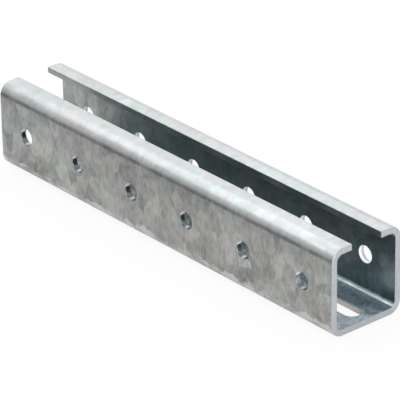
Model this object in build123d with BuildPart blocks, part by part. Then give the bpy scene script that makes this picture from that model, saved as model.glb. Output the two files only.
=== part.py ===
from build123d import *
import os

# Piece of C-channel stock lying on its base, open side up, in millimetres.
# X runs along the stock, Y across it and Z up from the underside of the base.
# Origin: middle of the base's underside.

# Outside of the rolled section
length = 300.0
width = 52.0
height = 55.0

# Strip that the section is bent from
sheet = 4.0
bend_radius = 4.0  # inside radius of the four bends
lip = 15.0  # each inturned lip, from the outside face of its wall to its tip
edge_break = 0.4  # chamfer on every cut and punched edge

# Punching, repeated along the stock
pitch = 50.0
end_distance = 25.0  # least distance from a cut end to the first punched centre
hole_diameter = 10.5  # round holes, straight through both walls
slot_length = 37.0  # base slots, end to end along the stock
slot_width = 11.0

# The punching is centred on the length, with one station at each pitch
stations = int((length - 2 * end_distance) / pitch) + 1
outer_radius = bend_radius + sheet
hole_height = height / 2

os.makedirs("parts", exist_ok=True)

with BuildPart() as channel:
    # Section across the stock: one strip, bent up at both walls and in again at both lips
    with BuildSketch(Plane.YZ) as section:
        with BuildLine() as strip:
            FilletPolyline(
                (lip - width / 2, height),
                (-width / 2, height),
                (-width / 2, 0),
                (width / 2, 0),
                (width / 2, height),
                (width / 2 - lip, height),
                radius=outer_radius,
            )
            offset(amount=sheet, side=Side.LEFT)
        make_face()
    extrude(amount=length / 2, both=True)
    cut_ends = channel.faces().filter_by(Axis.X)
    lip_tips = channel.faces().filter_by(Axis.Y).group_by(Axis.Z)[-1]
    chamfer(cut_ends.edges() + lip_tips.edges(), edge_break)

    # Round holes at mid-height, those of one wall straight opposite those of the other
    with BuildSketch(Plane.XZ) as wall_holes:
        with Locations((0, hole_height)):
            with GridLocations(pitch, 0, stations, 1):
                Circle(hole_diameter / 2)
    extrude(amount=width / 2, both=True, mode=Mode.SUBTRACT)
    hole_rims = channel.edges(Select.LAST).filter_by(GeomType.CIRCLE)
    chamfer(hole_rims, edge_break)

    # Long slots in the base, one under each pair of holes
    with BuildSketch(Plane.XY) as base_slots:
        with GridLocations(pitch, 0, stations, 1):
            SlotOverall(slot_length, slot_width)
    extrude(amount=sheet, mode=Mode.SUBTRACT)
    slot_rims = channel.edges(Select.LAST).filter_by(Axis.Z, reverse=True)
    chamfer(slot_rims, edge_break)

channel.part.label = "channel"
export_step(channel.part, "parts/channel.step")
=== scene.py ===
"""Piece of galvanised C-channel stock on a pale studio floor."""

import math
from types import SimpleNamespace

import bpy
from bpy.props import FloatProperty, FloatVectorProperty, IntProperty, PointerProperty
from mathutils import Euler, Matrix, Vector


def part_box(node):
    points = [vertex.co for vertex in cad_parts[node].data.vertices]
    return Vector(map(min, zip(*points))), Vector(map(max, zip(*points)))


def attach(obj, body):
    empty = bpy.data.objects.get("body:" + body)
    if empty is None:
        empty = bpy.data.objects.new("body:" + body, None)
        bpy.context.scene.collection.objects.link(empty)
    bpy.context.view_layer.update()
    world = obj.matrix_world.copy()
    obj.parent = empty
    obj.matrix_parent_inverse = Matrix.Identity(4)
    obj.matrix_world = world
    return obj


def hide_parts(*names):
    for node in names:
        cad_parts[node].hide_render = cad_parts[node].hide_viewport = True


bl_info = {
    "name": "C-Channel Stock",
    "version": (1, 0, 0),
    "blender": (4, 5, 0),
    "location": "3D View > Sidebar > C-Channel",
    "description": "Models a punched and galvanised piece of C-channel stock",
    "category": "Add Mesh",
}

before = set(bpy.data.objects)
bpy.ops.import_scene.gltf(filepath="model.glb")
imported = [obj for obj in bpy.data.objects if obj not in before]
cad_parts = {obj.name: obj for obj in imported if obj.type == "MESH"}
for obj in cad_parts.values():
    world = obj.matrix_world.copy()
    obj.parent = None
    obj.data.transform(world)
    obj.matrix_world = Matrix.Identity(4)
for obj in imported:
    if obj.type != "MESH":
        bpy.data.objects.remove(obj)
cad_low, cad_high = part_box("channel")
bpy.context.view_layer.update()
cad_size = cad_high - cad_low

TOUCH = 1e-6  # metres within which two places are the same
PUNCH_SIDES = 64
PUNCH_REACH = 1.5  # how far a punch reaches, where 1 is level with the face that it comes out of
EDGE_STEPS = 3  # flats that a rounded edge is made of
EDGE_TURN = math.radians(50.0)  # edges that turn further than this are rounded
SMOOTH_TURN = math.radians(40.0)  # edges that turn less than this are shaded smooth
END_LEAN = 0.2  # a face of a sawn end looks along the stock by more than this
WALL_LEAN = 0.01  # the wall of a slot looks up or down by less than this
FLOOR_GAP = 0.0002  # the floor is this far under the base, so that the two faces don't mix

WHITE = (1.0, 1.0, 1.0)
MIDDLE_GREY = (0.5, 0.5, 0.5)

# How much of the floor's colour is plain white to the camera and in reflections
FLOOR_SEEN = 0.9
FLOOR_MIRRORED = 0.5

# Sockets of the Mix node that carry colours
MIX_COLOURS = slice(6, 8)
MIX_RESULT = 2

# Spacing of the nodes in the shader editor
NODE_COLUMN = 220
NODE_ROW = 180

# Cards that only reflections see: name, place, size, colour, and whether it stands upright
CARDS = (
    ("low_card", (-0.12, -0.093, 0.026), (0.66, 0.05), (0.265, 0.283, 0.292), True),
    ("ceiling_card", (0.0, 0.0, 1.3), (1.5, 1.5), (0.24, 0.32, 0.35), False),
)

# Softboxes: name, place, aim, size, power in watts and colour
SOFTBOXES = (
    ("left_softbox", (-1.575, 0.06, 2.592), (0.0, 0.0, 0.04), (6.0, 1.73), 103.0, (0.82, 0.893, 1.0)),
    ("low_softbox", (-2.318, 1.194, 1.524), (0.0, 0.0, 0.04), (1.72, 0.59), 5.0, (0.82, 0.893, 1.0)),
    ("edge_softbox", (-1.886, -2.095, 1.066), (0.0, 0.0, 0.04), (1.2, 0.5), 0.8, (0.9, 0.95, 1.0)),
    ("back_softbox", (-1.8, 2.0, 0.35), (0.0, 0.0, 0.05), (1.8, 1.0), 4.3, (0.88, 0.95, 1.0)),
    ("right_softbox", (1.1, -0.4, 0.32), (0.14, 0.0, 0.02), (0.7, 0.5), 7.0, (1.0, 0.99, 1.0)),
)


# Settings


class ChannelSizes(bpy.types.PropertyGroup):
    """Sizes of the rolled section and of its punching"""

    length: FloatProperty(
        name="Length",
        description="Length of the piece between its cut ends",
        default=cad_size.x,
        unit="LENGTH",
    )
    width: FloatProperty(
        name="Width",
        description="Width across the outside of both walls",
        default=cad_size.y,
        unit="LENGTH",
    )
    height: FloatProperty(
        name="Height",
        description="Height from the underside of the base to the top of the lips",
        default=cad_size.z,
        unit="LENGTH",
    )
    sheet: FloatProperty(
        name="Sheet",
        description="Thickness of the strip",
        default=0.004,
        unit="LENGTH",
    )
    bend_radius: FloatProperty(
        name="Bend Radius",
        description="Outside radius of the four bends",
        default=0.008,
        unit="LENGTH",
    )
    bend_steps: IntProperty(
        name="Bend Steps",
        description="Number of flats that each bend is made of",
        default=16,
        min=4,
        max=48,
    )
    lip: FloatProperty(
        name="Lip",
        description="Width of each inturned lip, from the outside of its wall",
        default=0.015,
        unit="LENGTH",
    )
    edge_round: FloatProperty(
        name="Edge Rounding",
        description="Width of the rounding that the zinc leaves on cut and punched edges",
        default=0.0005,
        unit="LENGTH",
    )
    pitch: FloatProperty(
        name="Pitch",
        description="Distance from one punched station to the next",
        default=0.05,
        unit="LENGTH",
    )
    stations: IntProperty(
        name="Stations",
        description="Number of punched stations along the piece",
        default=6,
        min=1,
        max=60,
    )
    hole_diameter: FloatProperty(
        name="Hole Diameter",
        description="Diameter of the round holes in both walls",
        default=0.0105,
        unit="LENGTH",
    )
    slot_length: FloatProperty(
        name="Slot Length",
        description="Length of each base slot, end to end",
        default=0.037,
        unit="LENGTH",
    )
    slot_width: FloatProperty(
        name="Slot Width",
        description="Width of each base slot",
        default=0.011,
        unit="LENGTH",
    )


class ZincFinish(bpy.types.PropertyGroup):
    """Colours and grain of the hot-dip zinc coat, and the light and shade painted on it"""

    dark_zinc: FloatVectorProperty(
        name="Dark Zinc",
        description="Colour of the dullest crystals",
        default=(0.143, 0.148, 0.141),
        subtype="COLOR",
        min=0.0,
        max=1.0,
    )
    light_zinc: FloatVectorProperty(
        name="Light Zinc",
        description="Colour of the brightest crystals",
        default=(0.55, 0.54, 0.525),
        subtype="COLOR",
        min=0.0,
        max=1.0,
    )
    crystal: FloatProperty(
        name="Crystal",
        description="Usual width of a zinc crystal",
        default=0.0085,
        unit="LENGTH",
    )
    metal: FloatProperty(
        name="Metal",
        description="How much of the shine is bare metal, against the dull film on the zinc",
        default=0.9,
        subtype="FACTOR",
        min=0.0,
        max=1.0,
    )
    crystal_tone: FloatProperty(
        name="Crystal Tone",
        description="How far the small crystals differ in tone",
        default=0.28,
        min=0.0,
    )
    plate_tone: FloatProperty(
        name="Plate Tone",
        description="How far the large plates differ in tone",
        default=0.22,
        min=0.0,
    )
    pale_tone: FloatProperty(
        name="Pale Tone",
        description="How much lighter the palest crystals are",
        default=0.2,
        min=0.0,
    )
    cloud_tone: FloatProperty(
        name="Cloud Tone",
        description="Depth of the soft clouds in the zinc",
        default=0.7,
        min=0.0,
    )
    line_tone: FloatProperty(
        name="Line Tone",
        description="Depth of the fine lines round the section",
        default=0.65,
        min=0.0,
    )
    crystal_tilt: FloatProperty(
        name="Crystal Tilt",
        description="How far the small crystals lean from the sheet",
        default=0.045,
        min=0.0,
    )
    ripple: FloatProperty(
        name="Ripple",
        description="Depth of the soft waves in the zinc coat",
        default=0.000032,
        unit="LENGTH",
    )
    green_cast: FloatVectorProperty(
        name="Green Cast",
        description="Tint of the greener plates",
        default=(0.965, 1.0, 0.965),
        subtype="COLOR",
        min=0.0,
        max=1.0,
    )
    red_cast: FloatVectorProperty(
        name="Red Cast",
        description="Tint of the warmer plates",
        default=(1.0, 0.965, 0.95),
        subtype="COLOR",
        min=0.0,
        max=1.0,
    )
    # Painted shade: a dark, cool film inside the channel, for the light lost between its walls
    inside_shade_cast: FloatVectorProperty(
        name="Inside Cast",
        description="Tint of the film inside the channel",
        default=(0.63, 0.745, 0.79),
        subtype="COLOR",
        min=0.0,
        max=1.0,
    )
    # Painted reflection: a cool tint on the outer sides of the top bends
    bend_reflection_cast: FloatVectorProperty(
        name="Bend Cast",
        description="Tint of the outer sides of the top bends",
        default=(0.983, 0.995, 1.043),
        subtype="COLOR",
        min=0.0,
        max=2.0,
    )
    # Painted shade: a darker, cooler film low down inside by the drained end
    deep_shade_cast: FloatVectorProperty(
        name="Deep Cast",
        description="Tint of the film low down by the drained end",
        default=(0.56, 0.74, 0.85),
        subtype="COLOR",
        min=0.0,
        max=1.0,
    )
    # Painted highlight along the inside bottom bends
    gutter_highlight_colour: FloatVectorProperty(
        name="Gutter Colour",
        description="Tint of the bright zinc in the inside bottom bends",
        default=(1.63, 1.82, 1.75),
        subtype="COLOR",
        min=0.0,
        max=3.0,
    )
    skin: FloatProperty(
        name="Skin",
        description="Depth from the outside at which the inside film starts",
        default=0.003,
        unit="LENGTH",
    )
    calm: FloatProperty(
        name="Calm",
        description="Share of the grain's contrast that is left inside and on the lips",
        default=0.45,
        min=0.0,
        max=1.0,
    )
    # Partly a dull film and partly painted light on the base inside
    settled_film_and_light: FloatProperty(
        name="Settled Film",
        description="How much of the dull bloom lies all over the base inside",
        default=0.2,
        min=0.0,
        max=1.0,
    )
    # Partly run-off and partly a painted reflection of the bright floor along the bottom bends
    run_off_and_sheen: FloatProperty(
        name="Run-off",
        description="How much lighter the zinc is where it ran off along the bottom bends",
        default=0.42,
        min=0.0,
    )
    sawn_colour: FloatVectorProperty(
        name="Sawn Colour",
        description="Colour of the sawn ends",
        default=(0.41, 0.422, 0.44),
        subtype="COLOR",
        min=0.0,
        max=1.0,
    )
    # Painted light: the slot walls are lighter to make up for the shaded floor that they reflect
    slot_lit_colour: FloatVectorProperty(
        name="Slot Colour",
        description="Colour of the walls of the slots",
        default=(0.65, 0.633, 0.615),
        subtype="COLOR",
        min=0.0,
        max=1.0,
    )
    # Painted reflection: a cool tint in the near round holes
    bore_reflection_cast: FloatVectorProperty(
        name="Bore Cast",
        description="Tint of the zinc in the near round holes",
        default=(0.9, 0.98, 1.08),
        subtype="COLOR",
        min=0.0,
        max=2.0,
    )
    # Painted shade in the near round holes and on the base beside the inside bends
    bore_shade_colour: FloatVectorProperty(
        name="Bore Colour",
        description="Tint of the walls of the near round holes",
        default=(0.25, 0.28, 0.3),
        subtype="COLOR",
        min=0.0,
        max=1.0,
    )
    # Painted reflection: the white backdrop seen in the far round holes
    far_bore_reflection_colour: FloatVectorProperty(
        name="Far Bore Colour",
        description="Colour of the white coat in the far round holes",
        default=(0.86, 0.88, 0.9),
        subtype="COLOR",
        min=0.0,
        max=2.0,
    )
    # Painted highlight at the top of each near round hole
    rim_highlight_colour: FloatVectorProperty(
        name="Bead",
        description="Colour of the white bead of zinc in the top of each near round hole",
        default=(0.7, 0.72, 0.745),
        subtype="COLOR",
        min=0.0,
        max=1.0,
    )
    # Partly a dull bloom and partly painted light from the open drained end
    bloom_light_colour: FloatVectorProperty(
        name="Bloom",
        description="Colour of the dull bloom inside, by the drained end",
        default=(0.55, 0.62, 0.655),
        subtype="COLOR",
        min=0.0,
        max=1.0,
    )
    bloom_length: FloatProperty(
        name="Bloom Length",
        description="How far the bloom reaches in from the drained end",
        default=0.02,
        unit="LENGTH",
    )
    gloss_low: FloatProperty(
        name="Lowest Roughness",
        description="Roughness of the glossiest crystals",
        default=0.24,
        subtype="FACTOR",
        min=0.0,
        max=1.0,
    )
    gloss_high: FloatProperty(
        name="Highest Roughness",
        description="Roughness of the dullest crystals",
        default=0.38,
        subtype="FACTOR",
        min=0.0,
        max=1.0,
    )


class StudioSettings(bpy.types.PropertyGroup):
    """Camera, floor and lamps"""

    camera_place: FloatVectorProperty(
        name="Camera Place",
        description="Where the camera stands",
        default=(1.36772, -1.13741, 0.91126),
        subtype="TRANSLATION",
        unit="LENGTH",
    )
    camera_turn: FloatVectorProperty(
        name="Camera Turn",
        description="Rotation of the camera about X, Y and Z",
        default=tuple(math.radians(a) for a in (63.4533, 0.8941, 49.662)),
        subtype="EULER",
    )
    camera_lens: FloatProperty(
        name="Lens",
        description="Focal length of the camera in millimetres",
        default=305.307,
    )
    floor_radius: FloatProperty(
        name="Floor Radius",
        description="Radius of the round floor",
        default=3.0,
        unit="LENGTH",
    )
    floor_colour: FloatVectorProperty(
        name="Floor Colour",
        description="Colour of the floor",
        default=(0.78, 0.78, 0.78),
        subtype="COLOR",
        min=0.0,
        max=1.0,
    )
    room_light: FloatProperty(
        name="Room Light",
        description="Strength of the even light from all round",
        default=0.75,
        min=0.0,
    )


# Shader helpers


class Field:
    """A value that varies over the surface, added, subtracted and multiplied as a number is."""

    def __init__(self, socket):
        self.socket = socket

    def __add__(self, other):
        return maths("ADD", self, other)

    def __sub__(self, other):
        return maths("SUBTRACT", self, other)

    def __rsub__(self, other):
        return maths("SUBTRACT", other, self)

    def __mul__(self, other):
        return maths("MULTIPLY", self, other)

    def sibling(self, name):
        """Another output of the node that this value comes from."""
        return Field(self.socket.node.outputs[name])


def put(tree, kind, **settings):
    """Adds a shader node to a tree and sets its options."""
    node = tree.nodes.new(kind)
    for name, value in settings.items():
        setattr(node, name, value)
    return node


def put_with(values, kind, **settings):
    """Adds a shader node to the tree that the fields among the values belong to."""
    tree = next(value.socket.id_data for value in values if isinstance(value, Field))
    return put(tree, kind, **settings)


def feed(target, value):
    """Links a field to an input socket, or sets the socket's own value."""
    if isinstance(value, Field):
        target.id_data.links.new(value.socket, target)
    else:
        target.default_value = value


def maths(operation, *values):
    """Adds a Math node over fields and numbers."""
    node = put_with(values, "ShaderNodeMath", operation=operation)
    for socket, value in zip(node.inputs, values):
        feed(socket, value)
    return Field(node.outputs[0])


def largest(first, *others):
    """The largest of some fields and numbers at each point."""
    for other in others:
        first = maths("MAXIMUM", first, other)
    return first


def vector_maths(operation, *values):
    """Adds a Vector Math node over fields and triples."""
    node = put_with(values, "ShaderNodeVectorMath", operation=operation)
    for socket, value in zip(node.inputs, values):
        feed(socket, value)
    return Field(node.outputs[0])


def scaled(vector, factor):
    """A vector made longer or shorter by a factor."""
    node = vector_maths("SCALE", vector).socket.node
    feed(node.inputs["Scale"], factor)
    return Field(node.outputs[0])


def spread(value, low, high):
    """Takes a field from 0..1 to low..high."""
    node = put_with((value,), "ShaderNodeMapRange")
    feed(node.inputs["Value"], value)
    feed(node.inputs["To Min"], low)
    feed(node.inputs["To Max"], high)
    return Field(node.outputs["Result"])


def step(value, start, full):
    """A smooth step from 0 where the value is start to 1 where it is full."""
    node = put_with((value,), "ShaderNodeMapRange", interpolation_type="SMOOTHSTEP")
    feed(node.inputs["Value"], value)
    feed(node.inputs["From Min"], start)
    feed(node.inputs["From Max"], full)
    return Field(node.outputs["Result"])


def band(value, low, low_full, high_full, high):
    """1 between the two full values, 0 outside low and high, and smooth between."""
    return step(value, low, low_full) * step(value, high, high_full)


def blend(first, second, share, blend_type="MIX"):
    """Goes from the first colour to the second as the share goes from 0 to 1."""
    node = put_with((first, second, share), "ShaderNodeMix", data_type="RGBA", blend_type=blend_type)
    feed(node.inputs["Factor"], share)
    for socket, colour in zip(node.inputs[MIX_COLOURS], (first, second)):
        feed(socket, colour if isinstance(colour, Field) else (*colour, 1.0))
    return Field(node.outputs[MIX_RESULT])


def tinted(colour, tint):
    """A colour multiplied by a tint."""
    return blend(colour, tint, 1.0, "MULTIPLY")


def split(colour):
    """The red, green and blue of a colour, each as a field."""
    node = put_with((colour,), "ShaderNodeSeparateColor")
    feed(node.inputs[0], colour)
    return [Field(socket) for socket in node.outputs]


def noise(where, scale, detail):
    """Soft noise about 0.5, whose coloured form is the sibling Color."""
    node = put_with((where,), "ShaderNodeTexNoise")
    feed(node.inputs["Vector"], where)
    feed(node.inputs["Scale"], scale)
    feed(node.inputs["Detail"], detail)
    return Field(node.outputs["Fac"])


def cells(where, scale, softness):
    """Cells with one random colour each, soft at their edges."""
    node = put_with((where,), "ShaderNodeTexVoronoi", feature="SMOOTH_F1")
    feed(node.inputs["Vector"], where)
    feed(node.inputs["Scale"], scale)
    feed(node.inputs["Smoothness"], softness)
    return Field(node.outputs["Color"])


def stretched(where, per_axis):
    """Coordinates multiplied along each axis: a pattern on them is longest where that is least."""
    node = put_with((where,), "ShaderNodeMapping")
    feed(node.inputs["Vector"], where)
    feed(node.inputs["Scale"], per_axis)
    return Field(node.outputs["Vector"])


def new_material(name):
    """A material with its node tree and its Principled shader."""
    material = bpy.data.materials.new(name)
    material.use_nodes = True
    tree = material.node_tree
    return material, tree, tree.nodes["Principled BSDF"]


def object_place(tree):
    """The place of each point on the piece."""
    return Field(put(tree, "ShaderNodeTexCoord").outputs["Object"])


def arrange(tree):
    """Sets the nodes out in columns, each to the left of all that it feeds."""
    column = {node.name: 0 for node in tree.nodes}
    moved = True
    while moved:
        moved = False
        for link in tree.links:
            least = column[link.to_node.name] + 1
            if column[link.from_node.name] < least:
                column[link.from_node.name] = least
                moved = True
    rows = [0] * (max(column.values()) + 1)
    for node in tree.nodes:
        place = column[node.name]
        node.location = (-NODE_COLUMN * place, -NODE_ROW * rows[place])
        rows[place] += 1


# Finish of the zinc


# Patterns, with scales in repeats per crystal and stretches along, across and up
RAGGED_SCALE = 1.236
RAGGED_PUSH = 0.75  # crystals
OUTLINE_STRETCH = (1.0, 0.8, 0.8)
CRYSTAL_SOFTNESS = 0.08
PLATE_SCALE = 0.45
PLATE_SOFTNESS = 0.25
CLOUD_SCALE = 1.8
CLOUD_STRETCH = (1.15, 0.75, 0.75)

# Patterns with a size of their own, in repeats per metre along, across and up
LINES = (1000.0, 260.0, 260.0)
RUN_OFF_PATCHES = (70.0, 170.0, 170.0)
BLOOM_VEINS = (560.0, 260.0, 260.0)
CUT_GRAIN = 450.0

# How far noise moves the edges of the zones, in metres
RUN_OFF_WANDER = 0.01
BLOOM_WANDER = 0.048
BLOOM_DRIFT = 0.032
PATCH_WANDER = 0.0192

# How far the zinc is from its dark colour to its light one, on the plain walls and where the grain is calm
PLAIN_TONE = 0.455
CALM_TONE = 0.5
PALE_SHARE = 0.12  # of the crystals
PALE_SOFTNESS = 0.04

# Depths of the smaller marks of painted shade and painted light, some with bloom, where 1 is full
BEND_SHADE_DEPTH = 0.05
CONTACT_SHADE_DEPTH = 0.3
CORNER_SHADE_DEPTH = 0.4
BOTTOM_SHADE_DEPTH = 0.42
PATCH_DEPTH = 0.26
RUN_OFF_CAST = 0.3

# Shares that are left of a value
CRYSTAL_CALM = 0.5  # of the contrast of the crystals, where the grain is calm
BLOOM_METAL = 0.5  # of the bare metal, under full bloom
FAR_BORE_SHADE = 0.55  # of the painted white in the far holes, as painted shade on the outer half of the sheet

# Roughness that the films add
BLOOM_ROUGHNESS = 0.15
GUTTER_ROUGHNESS = 0.1

# Grain of the cut faces: shares of their colour, and roughness
CUT_TONES = (0.8, 1.2)
CUT_ROUGHNESS = (0.35, 0.55)


def cut_material(name, tone, metal):
    """The dull coat on sawn and punched faces, with a fine grain."""
    material, tree, shader = new_material(name)
    grain = noise(object_place(tree), CUT_GRAIN, detail=4.0)
    dark, light = (tuple(part * share for part in tone) for share in CUT_TONES)
    feed(shader.inputs["Base Color"], blend(dark, light, grain))
    feed(shader.inputs["Metallic"], metal)
    feed(shader.inputs["Roughness"], spread(grain, *CUT_ROUGHNESS))
    arrange(tree)
    return material


def channel_place(tree, sizes):
    """Where a point lies, as distances in metres from the faces, ends and holes of the channel."""
    where = object_place(tree)
    axes = put(tree, "ShaderNodeSeparateXYZ")
    feed(axes.inputs[0], where)
    along, across, up = (Field(socket) for socket in axes.outputs)
    aside = maths("ABSOLUTE", across)
    station = maths("WRAP", along + sizes.pitch * sizes.stations / 2, sizes.pitch, 0.0)
    return SimpleNamespace(
        where=where,
        across=across,
        up=up,
        from_drained_end=sizes.length / 2 - along,
        from_hung_end=along + sizes.length / 2,
        into_wall=sizes.width / 2 - aside,
        off_inner_wall=sizes.width / 2 - sizes.sheet - aside,
        past_lip_tip=sizes.width / 2 - sizes.lip - aside,
        over_base=up - sizes.sheet,
        over_bottom_bend=up - sizes.bend_radius,
        under_top=sizes.height - up,
        over_hole=up - sizes.height / 2,
        beside_hole=station - sizes.pitch / 2,
    )


def zinc_patterns(where, finish):
    """Crystals with ragged outlines, larger plates, clouds, and fine lines round the section."""
    per_crystal = 1.0 / finish.crystal
    ragged = noise(where, RAGGED_SCALE * per_crystal, detail=3.0)
    push = vector_maths("SUBTRACT", ragged.sibling("Color"), MIDDLE_GREY)
    outline = vector_maths("ADD", where, scaled(push, RAGGED_PUSH * finish.crystal))
    outline = vector_maths("MULTIPLY", outline, OUTLINE_STRETCH)
    crystals = cells(outline, per_crystal, CRYSTAL_SOFTNESS)
    plates = cells(outline, PLATE_SCALE * per_crystal, PLATE_SOFTNESS)
    crystal_tone, crystal_gloss, crystal_luck = split(crystals)
    plate_tone, _, plate_hue = split(plates)
    return SimpleNamespace(
        wander=ragged - 0.5,
        crystals=crystals,
        crystal_tone=crystal_tone,
        crystal_gloss=crystal_gloss,
        crystal_luck=crystal_luck,
        plate_tone=plate_tone,
        plate_hue=plate_hue,
        clouds=noise(stretched(where, CLOUD_STRETCH), CLOUD_SCALE * per_crystal, detail=6.0),
        lines=noise(stretched(where, LINES), 1.0, detail=4.0),
    )


def inside_zone(at, skin):
    """1 on the faces inside the channel and on the lips' tips, 0 on those outside."""
    full = skin + 0.0004
    between_walls = step(at.into_wall, skin, full)
    over_underside = step(at.up, skin, full)
    under_lips = step(at.under_top, skin, full)
    in_mouth = step(at.past_lip_tip, -0.0006, -0.0001)
    return between_walls * over_underside * largest(under_lips, in_mouth)


def hole_zones(at, inside):
    """The walls of the round holes, near and far, and the painted highlight at the top and the painted shade
    of the near ones.
    """
    outside = 1.0 - inside
    far_side = step(at.across, -0.005, 0.005)
    near_side = 1.0 - far_side
    level = band(at.over_hole, -0.0095, -0.0075, 0.0075, 0.0095)
    at_station = step(maths("ABSOLUTE", at.beside_hole), 0.0075, 0.007)
    under_face = step(at.into_wall, 0.00005, 0.0002)
    under_rim = step(at.into_wall, 0.0004, 0.0008)
    past_inner_face = step(at.off_inner_wall, -0.00002, -0.0002)
    holes = at_station * level * under_face
    near = holes * near_side * outside

    # Painted shade over the bottom, but for the hole by the drained end
    over_bottom = step(at.over_hole, -0.0037, -0.0019)
    further_in = step(at.from_drained_end, 0.04, 0.06)
    dark = under_rim * level * outside * near_side * over_bottom * further_in

    # Painted shade: a dark crescent low down on the side away from the lamps, and a half-dark band along the
    # bottom
    away_from_lamps = step(at.beside_hole, 0.0003, 0.0015)
    crescent = near * away_from_lamps * step(at.over_hole, -0.0032, -0.0039)
    bottom_shade = near * step(at.over_hole, -0.003, -0.004)
    return SimpleNamespace(
        near=near,
        far=holes * far_side * past_inner_face,
        # Painted highlight on the top of each near hole
        rim_highlight=near * step(at.over_hole, 0.001, 0.0022),
        dark=largest(dark, crescent, bottom_shade * BOTTOM_SHADE_DEPTH),
    )


def foot_zones(at, wander, inside):
    """Marks along the bottom bends, inside and out: a painted highlight and painted shade inside, and
    lighter patches, partly a painted reflection, with painted shade outside.
    """
    outside = 1.0 - inside

    # Painted highlight in the inside bottom bends, and painted shade on the base beside them
    gutter = step(at.off_inner_wall, 0.0026, 0.0017) * step(at.over_base, 0.0026, 0.0019)
    corner_shade = step(at.off_inner_wall, 0.0062, 0.0034) * step(at.over_base, 0.0028, 0.0016)

    # Lighter patches on the outer bends, partly zinc run-off and partly a painted reflection of the bright
    # floor, with a faint line of painted shade over them and painted contact shade under them
    patches = step(noise(stretched(at.where, RUN_OFF_PATCHES), 1.0, detail=5.0), 0.42, 0.62)
    run_off_and_sheen = step(at.over_bottom_bend + wander * RUN_OFF_WANDER, 0.0002, -0.0015)
    run_off_and_sheen = largest(run_off_and_sheen * spread(patches, 0.35, 1.75) - inside, 0.0)
    bend_shade_line = band(at.over_bottom_bend, -0.0001, 0.0003, 0.0006, 0.0018) * patches
    contact_shade = step(at.over_base, 0.0001, -0.0013)
    return SimpleNamespace(
        gutter=gutter * inside,
        corner_shade=corner_shade * inside,
        run_off_and_sheen=run_off_and_sheen,
        bend_shade_line=bend_shade_line * outside,
        contact_shade=contact_shade * outside,
    )


def bloom_and_light_zone(at, wander, inside, finish):
    """Dull bloom with painted light: on the base by the drained end, where light comes in at the open end,
    as a thin lighter film further in, and low on the far wall.
    """
    veins = step(noise(stretched(at.where, BLOOM_VEINS), 1.0, detail=4.0), 0.38, 0.62)

    # It reaches further in on the near side, and stops short of the far wall
    near_side = step(at.across, 0.002, -0.012)
    reach = at.from_drained_end - wander * BLOOM_WANDER - near_side * 0.009
    short_of_far_wall = step(at.across + wander * BLOOM_DRIFT, 0.018, 0.0)
    bloom_and_light = step(reach, finish.bloom_length, finish.bloom_length - 0.012) * short_of_far_wall
    bloom_and_light = bloom_and_light * step(at.over_base, 0.008, 0.002) * spread(veins, 0.55, 1.35)

    # Painted light further in: a thin lighter film over the base, with some dullness
    further_in = step(at.from_drained_end, 0.025, 0.05)
    film = spread(further_in, finish.settled_film_and_light, finish.settled_film_and_light * 2.2) * spread(veins, 0.45, 1.55)
    film = film * step(at.over_base, 0.003, 0.0005)

    # A lighter patch low on the far wall: bloom and painted light
    on_far_wall = step(at.across, 0.018, 0.0215) * band(at.up, 0.009, 0.016, 0.029, 0.037)
    patch = step(at.from_drained_end - wander * PATCH_WANDER, 0.016, 0.007) * on_far_wall
    return largest(bloom_and_light, film, patch * PATCH_DEPTH) * inside


def calm_zone(at, inside, holes, foot):
    """Where the grain is calmer: the lips and top bends, the inside, the near holes and the gutters."""
    top = step(at.under_top, 0.009, 0.003)
    past_hung_end = spread(step(at.from_hung_end, 0.02, 0.11), 0.0, 0.65)
    before_drained_end = spread(step(at.from_drained_end, 0.065, 0.025), 1.0, 0.3)
    return largest(top, inside * past_hung_end * before_drained_end, holes.near, foot.gutter)


def zinc_tone(zinc, foot, calm, contrast, crystal_contrast, finish):
    """How far the zinc is from its dark colour to its light one."""
    # Lighter patches along the bottom bends, partly run-off and partly painted reflection, with a painted
    # shade line over them and painted contact shade under them
    tone = foot.run_off_and_sheen * finish.run_off_and_sheen - foot.bend_shade_line * BEND_SHADE_DEPTH - foot.contact_shade * CONTACT_SHADE_DEPTH
    tone = tone + spread(calm, PLAIN_TONE, CALM_TONE)
    for pattern, weight, kept in (
        (zinc.crystal_tone, finish.crystal_tone, crystal_contrast),
        (zinc.plate_tone, finish.plate_tone, crystal_contrast),
        (zinc.clouds, finish.cloud_tone, contrast),
        (zinc.lines, finish.line_tone, contrast),
    ):
        tone = tone + (pattern - 0.5) * weight * kept
    # The other crystals are darker by as much in all as the pale ones are lighter
    luck = 1.0 - PALE_SHARE
    pale = step(zinc.crystal_luck, luck - PALE_SOFTNESS, luck + PALE_SOFTNESS) - PALE_SHARE
    return tone + pale * finish.pale_tone * crystal_contrast


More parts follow.
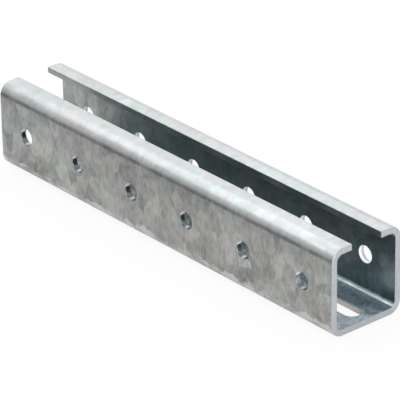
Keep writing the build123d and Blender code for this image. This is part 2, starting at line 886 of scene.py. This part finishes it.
def zinc_colour(at, zinc, inside, holes, foot, bloom_and_light, tone, finish):
    """The colour of the zinc, with its painted shade inside and in the holes, its bloom and painted light,
    and the painted highlights and reflections over them.
    """
    colour = blend(finish.dark_zinc, finish.light_zinc, tone)
    colour = tinted(colour, blend(finish.green_cast, finish.red_cast, zinc.plate_hue))

    # Painted shade inside: a dark, cool film, thin at the hung end where light comes in at the open end; and
    # a painted cool reflection on the top bends outside, and lightly on the lighter patches along the bottom
    # bends
    low_down = step(at.from_drained_end, 0.08, 0.03) * step(at.up, 0.032, 0.016)
    film = blend(finish.inside_shade_cast, finish.deep_shade_cast, low_down)
    inside_shade_depth = spread(step(at.from_hung_end, 0.034, 0.074), 0.28, 1.0) * (1.0 - foot.gutter)
    top_bend = band(at.under_top, 0.0022, 0.0034, 0.0068, 0.008) * (1.0 - inside)
    cool = blend(WHITE, finish.bend_reflection_cast, largest(top_bend, foot.run_off_and_sheen * RUN_OFF_CAST))
    colour = tinted(colour, blend(cool, film, inside * inside_shade_depth))

    # Painted cool reflection and painted shade in the near holes, painted shade on the base beside the
    # gutters, and a painted highlight in the gutters
    tint = blend(WHITE, finish.bore_reflection_cast, holes.near)
    tint = blend(tint, finish.bore_shade_colour, largest(holes.dark, foot.corner_shade * CORNER_SHADE_DEPTH))
    colour = tinted(colour, blend(tint, finish.gutter_highlight_colour, foot.gutter))

    # Painted white reflection in the far holes, darker on the outer half of the sheet as painted shade
    outer_half = step(at.off_inner_wall, -0.0018, -0.0024)
    far_bore_shade = tuple(FAR_BORE_SHADE * part for part in finish.far_bore_reflection_colour)
    coat = blend(finish.far_bore_reflection_colour, far_bore_shade, outer_half)
    # Dull bloom, lightened as painted light from the open drained end
    colour = blend(colour, finish.bloom_light_colour, bloom_and_light)
    # Painted highlight at the top of each near hole
    colour = blend(colour, finish.rim_highlight_colour, holes.rim_highlight)
    return blend(colour, coat, holes.far)


def zinc_normal(zinc, crystal_contrast, finish):
    """Each crystal lies at its own small angle, under soft waves."""
    lean = vector_maths("SUBTRACT", zinc.crystals, MIDDLE_GREY)
    lean = scaled(lean, crystal_contrast * finish.crystal_tilt)
    face = Field(put_with((lean,), "ShaderNodeNewGeometry").outputs["Normal"])
    leaning = vector_maths("NORMALIZE", vector_maths("ADD", face, lean))
    waves = put_with((leaning,), "ShaderNodeBump")
    feed(waves.inputs["Strength"], 1.0)
    feed(waves.inputs["Distance"], finish.ripple)
    feed(waves.inputs["Height"], zinc.clouds)
    feed(waves.inputs["Normal"], leaning)
    return Field(waves.outputs["Normal"])


def zinc_material(sizes, finish):
    """Hot-dip zinc: mottled crystals, and the bloom and the painted light, shade, highlights and reflections
    inside, in the holes and along the foot.
    """
    material, tree, shader = new_material("hot_dip_zinc")
    at = channel_place(tree, sizes)
    zinc = zinc_patterns(at.where, finish)
    inside = inside_zone(at, finish.skin)
    holes = hole_zones(at, inside)
    foot = foot_zones(at, zinc.wander, inside)
    bloom_and_light = bloom_and_light_zone(at, zinc.wander, inside, finish)
    calm = calm_zone(at, inside, holes, foot)

    # The crystals are a little softer over the third of the length by the drained end
    contrast = spread(calm, 1.0, finish.calm)
    softer = spread(step(at.from_drained_end, 0.115, 0.09), 1.0, 0.84)
    crystal_contrast = spread(calm, 1.0, finish.calm * CRYSTAL_CALM) * softer

    tone = zinc_tone(zinc, foot, calm, contrast, crystal_contrast, finish)
    colour = zinc_colour(at, zinc, inside, holes, foot, bloom_and_light, tone, finish)
    gloss = (zinc.crystal_gloss - 0.5) * contrast + 0.5
    rough = spread(gloss, finish.gloss_low, finish.gloss_high)
    rough = rough + bloom_and_light * BLOOM_ROUGHNESS + foot.gutter * GUTTER_ROUGHNESS
    metal = spread(bloom_and_light, finish.metal, finish.metal * BLOOM_METAL)
    # The painted highlight and the painted white reflection in the holes are not metal
    metal = metal * (1.0 - largest(holes.rim_highlight, holes.far))
    feed(shader.inputs["Base Color"], colour)
    feed(shader.inputs["Metallic"], metal)
    feed(shader.inputs["Roughness"], rough)
    feed(shader.inputs["Normal"], zinc_normal(zinc, crystal_contrast, finish))
    arrange(tree)
    return material


# Channel


def apply(modifier):
    """Applies a modifier of the active object."""
    bpy.ops.object.modifier_apply(modifier=modifier.name)


def pick_edges(piece, wanted):
    """Selects the edges whose two ends pass the test, in edit mode."""
    bpy.ops.mesh.select_all(action="DESELECT")
    bpy.ops.mesh.select_mode(type="EDGE")
    bpy.ops.object.mode_set(mode="OBJECT")
    points = piece.data.vertices
    for edge in piece.data.edges:
        edge.select = wanted(*(points[v].co for v in edge.vertices))
    bpy.ops.object.mode_set(mode="EDIT")


def rolled_strip(sizes):
    """The strip folded up into both walls and in into both lips, bent round and given its thickness."""
    bpy.ops.object.select_all(action="DESELECT")
    bpy.ops.mesh.primitive_plane_add(size=1.0, location=(0.0, 0.0, 0.0))
    piece = bpy.context.object
    piece.name = piece.data.name = "c_channel"
    bpy.ops.object.mode_set(mode="EDIT")
    bpy.ops.mesh.select_all(action="SELECT")
    bpy.ops.transform.resize(value=(sizes.length, sizes.width, 1.0))

    # Both walls up from the long edges of the base, then a lip in from each
    pick_edges(piece, lambda a, b: abs(a.y - b.y) < TOUCH)
    bpy.ops.mesh.extrude_region_move(TRANSFORM_OT_translate={"value": (0.0, 0.0, sizes.height)})
    rim = sizes.height - TOUCH
    for side in (-1.0, 1.0):
        pick_edges(piece, lambda a, b: min(a.z, b.z) > rim and a.y * side > 0 and b.y * side > 0)
        bpy.ops.mesh.extrude_region_move(TRANSFORM_OT_translate={"value": (0.0, -side * sizes.lip, 0.0)})

    def on_wall(point):
        return abs(abs(point.y) - sizes.width / 2) < TOUCH

    # Four bends, where the level edges of both walls are
    pick_edges(piece, lambda a, b: on_wall(a) and on_wall(b) and abs(a.z - b.z) < TOUCH)
    bpy.ops.mesh.bevel(
        offset_type="OFFSET",
        offset=sizes.bend_radius,
        segments=sizes.bend_steps,
        profile=0.5,
        affect="EDGES",
    )
    bpy.ops.mesh.select_all(action="SELECT")
    bpy.ops.mesh.normals_make_consistent(inside=False)
    bpy.ops.object.mode_set(mode="OBJECT")
    if any(face.normal.z > 0.5 and face.center.z < TOUCH for face in piece.data.polygons):
        piece.data.flip_normals()

    thick = piece.modifiers.new("Sheet", "SOLIDIFY")
    thick.thickness = sizes.sheet
    thick.offset = -1.0
    thick.use_even_offset = True
    apply(thick)
    return piece


def hole_punch(sizes):
    """One bar for each station, through both walls."""
    bpy.ops.object.select_all(action="DESELECT")
    bpy.ops.mesh.primitive_cylinder_add(
        vertices=PUNCH_SIDES,
        radius=sizes.hole_diameter / 2,
        depth=sizes.width * PUNCH_REACH,
        location=(first_station(sizes), 0.0, sizes.height / 2),
        rotation=(math.radians(90.0), 0.0, 0.0),
    )
    return repeated(sizes)


def slot_punch(sizes):
    """One round bar for each station, drawn out to the length of a slot."""
    bpy.ops.object.select_all(action="DESELECT")
    bpy.ops.mesh.primitive_cylinder_add(
        vertices=PUNCH_SIDES,
        radius=sizes.slot_width / 2,
        depth=sizes.sheet * 2 * PUNCH_REACH,
        location=(first_station(sizes), 0.0, 0.0),
        rotation=(0.0, 0.0, math.radians(180.0 / PUNCH_SIDES)),
    )
    bar = bpy.context.object
    bpy.ops.object.transform_apply(location=False, rotation=True, scale=False)
    for side in (-1.0, 1.0):
        bpy.ops.object.mode_set(mode="EDIT")
        bpy.ops.mesh.select_mode(type="VERT")
        bpy.ops.mesh.select_all(action="DESELECT")
        bpy.ops.object.mode_set(mode="OBJECT")
        for point in bar.data.vertices:
            point.select = point.co.x * side > 0
        bpy.ops.object.mode_set(mode="EDIT")
        drawn = side * (sizes.slot_length - sizes.slot_width) / 2
        bpy.ops.transform.translate(value=(drawn, 0.0, 0.0))
        bpy.ops.object.mode_set(mode="OBJECT")
    return repeated(sizes)


def first_station(sizes):
    """Place along the stock of the first punched station."""
    return -sizes.pitch * (sizes.stations - 1) / 2


def repeated(sizes):
    """Repeats the active punch at every station."""
    punch = bpy.context.object
    row = punch.modifiers.new("Row", "ARRAY")
    row.count = sizes.stations
    row.use_relative_offset = False
    row.use_constant_offset = True
    bpy.ops.object.transform_apply(location=True, rotation=True, scale=True)
    row.constant_offset_displace = (sizes.pitch, 0.0, 0.0)
    apply(row)
    return punch


def take_out(piece, punch):
    """Cuts a punch out of the piece and removes the punch."""
    bpy.ops.object.select_all(action="DESELECT")
    piece.select_set(True)
    bpy.context.view_layer.objects.active = piece
    cut = piece.modifiers.new("Punch", "BOOLEAN")
    cut.operation = "DIFFERENCE"
    cut.solver = "EXACT"
    cut.object = punch
    apply(cut)
    bpy.data.objects.remove(punch)


def round_edges(piece, sizes):
    """Rounds the cut and punched edges of the active piece, and keeps its flat faces flat in shading."""
    soft = piece.modifiers.new("Edges", "BEVEL")
    soft.width = sizes.edge_round
    soft.segments = EDGE_STEPS
    soft.limit_method = "ANGLE"
    soft.angle_limit = EDGE_TURN
    soft.use_clamp_overlap = False
    apply(soft)
    bpy.ops.object.mode_set(mode="EDIT")
    bpy.ops.mesh.select_all(action="SELECT")
    bpy.ops.mesh.remove_doubles(threshold=TOUCH)
    bpy.ops.mesh.normals_make_consistent(inside=False)
    bpy.ops.object.mode_set(mode="OBJECT")
    bpy.ops.object.shade_smooth_by_angle(angle=SMOOTH_TURN)
    even = piece.modifiers.new("Flats", "WEIGHTED_NORMAL")
    even.keep_sharp = True
    even.weight = 100
    apply(even)


def channel_piece(sizes):
    """Rolls the strip into the section, punches it and rounds its edges."""
    piece = rolled_strip(sizes)
    for punch in (hole_punch(sizes), slot_punch(sizes)):
        take_out(piece, punch)
    round_edges(piece, sizes)
    return piece


def mark_cut_faces(piece, sizes):
    """Gives the sawn ends the second material and the walls of the slots the third."""
    for face in piece.data.polygons:
        place, facing = face.center, face.normal
        end = abs(facing.x) > END_LEAN and abs(place.x) > sizes.length / 2 - sizes.edge_round
        slot = abs(facing.z) < WALL_LEAN and 0.0 < place.z < sizes.sheet and abs(place.y) < sizes.slot_width
        face.material_index = 1 if end else 2 if slot else 0


# Stage


def ray_kinds(tree):
    """Whether a ray is the camera's own, and whether it comes off or through a surface."""
    path = put(tree, "ShaderNodeLightPath")
    camera, glossy, through = (
        Field(path.outputs[name]) for name in ("Is Camera Ray", "Is Glossy Ray", "Is Transmission Ray")
    )
    return camera, largest(glossy, through)


def bare_material(name):
    """A material without a shader, its node tree and the socket for its surface."""
    material, tree, shader = new_material(name)
    tree.nodes.remove(shader)
    return material, tree, tree.nodes["Material Output"].inputs["Surface"]


def glow(tree, colour):
    """A surface that shines in one colour at a strength of 1."""
    shine = put(tree, "ShaderNodeEmission")
    feed(shine.inputs["Color"], (*colour, 1.0))
    return Field(shine.outputs[0])


def floor_material(colour):
    """White to the camera and in reflections, and still shaded where the channel stands."""
    material, tree, surface = bare_material("pale_floor")
    matt = put(tree, "ShaderNodeBsdfDiffuse")
    feed(matt.inputs["Color"], (*colour, 1.0))
    camera, mirrored = ray_kinds(tree)
    mix = put(tree, "ShaderNodeMixShader")
    feed(mix.inputs[0], mirrored * FLOOR_MIRRORED + camera * FLOOR_SEEN)
    feed(mix.inputs[1], Field(matt.outputs[0]))
    feed(mix.inputs[2], glow(tree, WHITE))
    feed(surface, Field(mix.outputs[0]))
    arrange(tree)
    return material


def softbox(name, place, aim, size, power, colour):
    """A large area lamp that points at a place and is out of the camera's sight."""
    lamp = bpy.data.lights.new(name, "AREA")
    lamp.shape = "RECTANGLE"
    lamp.size, lamp.size_y = size
    lamp.energy = power
    lamp.color = colour
    box = bpy.data.objects.new(name, lamp)
    box.location = place
    box.rotation_euler = (Vector(aim) - Vector(place)).to_track_quat("-Z", "Y").to_euler()
    box.visible_camera = False
    bpy.context.scene.collection.objects.link(box)


def card(name, place, size, colour, upright):
    """An evenly lit card that only reflections see."""
    bpy.ops.object.select_all(action="DESELECT")
    bpy.ops.mesh.primitive_plane_add(size=1.0)
    sheet = bpy.context.object
    sheet.name = name
    sheet.scale = (*size, 1.0)
    sheet.location = place
    if upright:
        sheet.rotation_euler = (math.radians(90.0), 0.0, 0.0)
    bpy.ops.object.transform_apply(location=True, rotation=True, scale=True)
    material, tree, surface = bare_material(name)
    feed(surface, glow(tree, colour))
    arrange(tree)
    sheet.data.materials.append(material)
    sheet.visible_camera = False
    sheet.visible_diffuse = False
    sheet.visible_shadow = False


def room_world(strength):
    """Even pale light from all round, white where the camera or a reflection sees it."""
    world = bpy.data.worlds.new("pale_room")
    bpy.context.scene.world = world
    world.use_nodes = True
    tree = world.node_tree
    room = tree.nodes["Background"]
    feed(room.inputs["Color"], (*WHITE, 1.0))
    feed(room.inputs["Strength"], spread(largest(*ray_kinds(tree)), strength, 1.0))
    arrange(tree)


def studio_camera(studio):
    """The camera at the photograph's viewing angle."""
    lens = bpy.data.cameras.new("camera")
    lens.lens = studio.camera_lens
    lens.sensor_width = 36.0
    lens.clip_start, lens.clip_end = 0.05, 20.0
    camera = bpy.data.objects.new("camera", lens)
    camera.location = studio.camera_place
    camera.rotation_euler = Euler(studio.camera_turn)
    bpy.context.scene.collection.objects.link(camera)
    bpy.context.scene.camera = camera


# Operators and panel


class CHANNEL_OT_channel(bpy.types.Operator):
    """Models the punched channel in place of the plain one"""

    bl_idname = "channel_stock.channel"
    bl_label = "Channel"

    def execute(self, context):
        sizes, finish = context.scene.channel_sizes, context.scene.zinc_finish
        piece = channel_piece(sizes)
        piece.data.materials.clear()
        piece.data.materials.append(zinc_material(sizes, finish))
        piece.data.materials.append(cut_material("sawn_face_zinc", finish.sawn_colour, metal=0.6))
        # The slot walls are lighter than the sawn ends: painted light for the shaded floor that they reflect
        piece.data.materials.append(cut_material("slot_wall_zinc", finish.slot_lit_colour, metal=0.3))
        mark_cut_faces(piece, sizes)
        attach(piece, "root")
        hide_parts("channel")
        return {"FINISHED"}


class CHANNEL_OT_studio(bpy.types.Operator):
    """Sets up the floor, the lamps and the camera"""

    bl_idname = "channel_stock.studio"
    bl_label = "Studio"

    def execute(self, context):
        studio = context.scene.channel_studio
        bpy.ops.object.select_all(action="DESELECT")
        bpy.ops.mesh.primitive_circle_add(vertices=96, radius=studio.floor_radius, fill_type="NGON")
        floor = context.object
        floor.name = "floor"
        floor.location.z = -FLOOR_GAP
        floor.data.materials.append(floor_material(studio.floor_colour))
        for each in CARDS:
            card(*each)
        for each in SOFTBOXES:
            softbox(*each)
        room_world(studio.room_light)
        studio_camera(studio)
        context.scene.view_settings.view_transform = "Standard"
        return {"FINISHED"}


class CHANNEL_PT_panel(bpy.types.Panel):
    """Lists the steps and settings of the channel"""

    bl_idname = "CHANNEL_PT_panel"
    bl_label = "C-Channel"
    bl_space_type = "VIEW_3D"
    bl_region_type = "UI"
    bl_category = "C-Channel"

    def draw(self, context):
        column = self.layout.column()
        column.operator(CHANNEL_OT_channel.bl_idname)
        column.operator(CHANNEL_OT_studio.bl_idname)
        for group in (context.scene.channel_sizes, context.scene.zinc_finish, context.scene.channel_studio):
            box = self.layout.box()
            for name in group.bl_rna.properties.keys():
                if name not in {"rna_type", "name"}:
                    box.prop(group, name)


classes = (
    ChannelSizes,
    ZincFinish,
    StudioSettings,
    CHANNEL_OT_channel,
    CHANNEL_OT_studio,
    CHANNEL_PT_panel,
)


def register():
    for each in classes:
        bpy.utils.register_class(each)
    bpy.types.Scene.channel_sizes = PointerProperty(type=ChannelSizes)
    bpy.types.Scene.zinc_finish = PointerProperty(type=ZincFinish)
    bpy.types.Scene.channel_studio = PointerProperty(type=StudioSettings)


def unregister():
    del bpy.types.Scene.channel_studio
    del bpy.types.Scene.zinc_finish
    del bpy.types.Scene.channel_sizes
    for each in reversed(classes):
        bpy.utils.unregister_class(each)


def main():
    register()
    bpy.ops.channel_stock.channel()
    bpy.ops.channel_stock.studio()


if __name__ == "__main__":
    main()
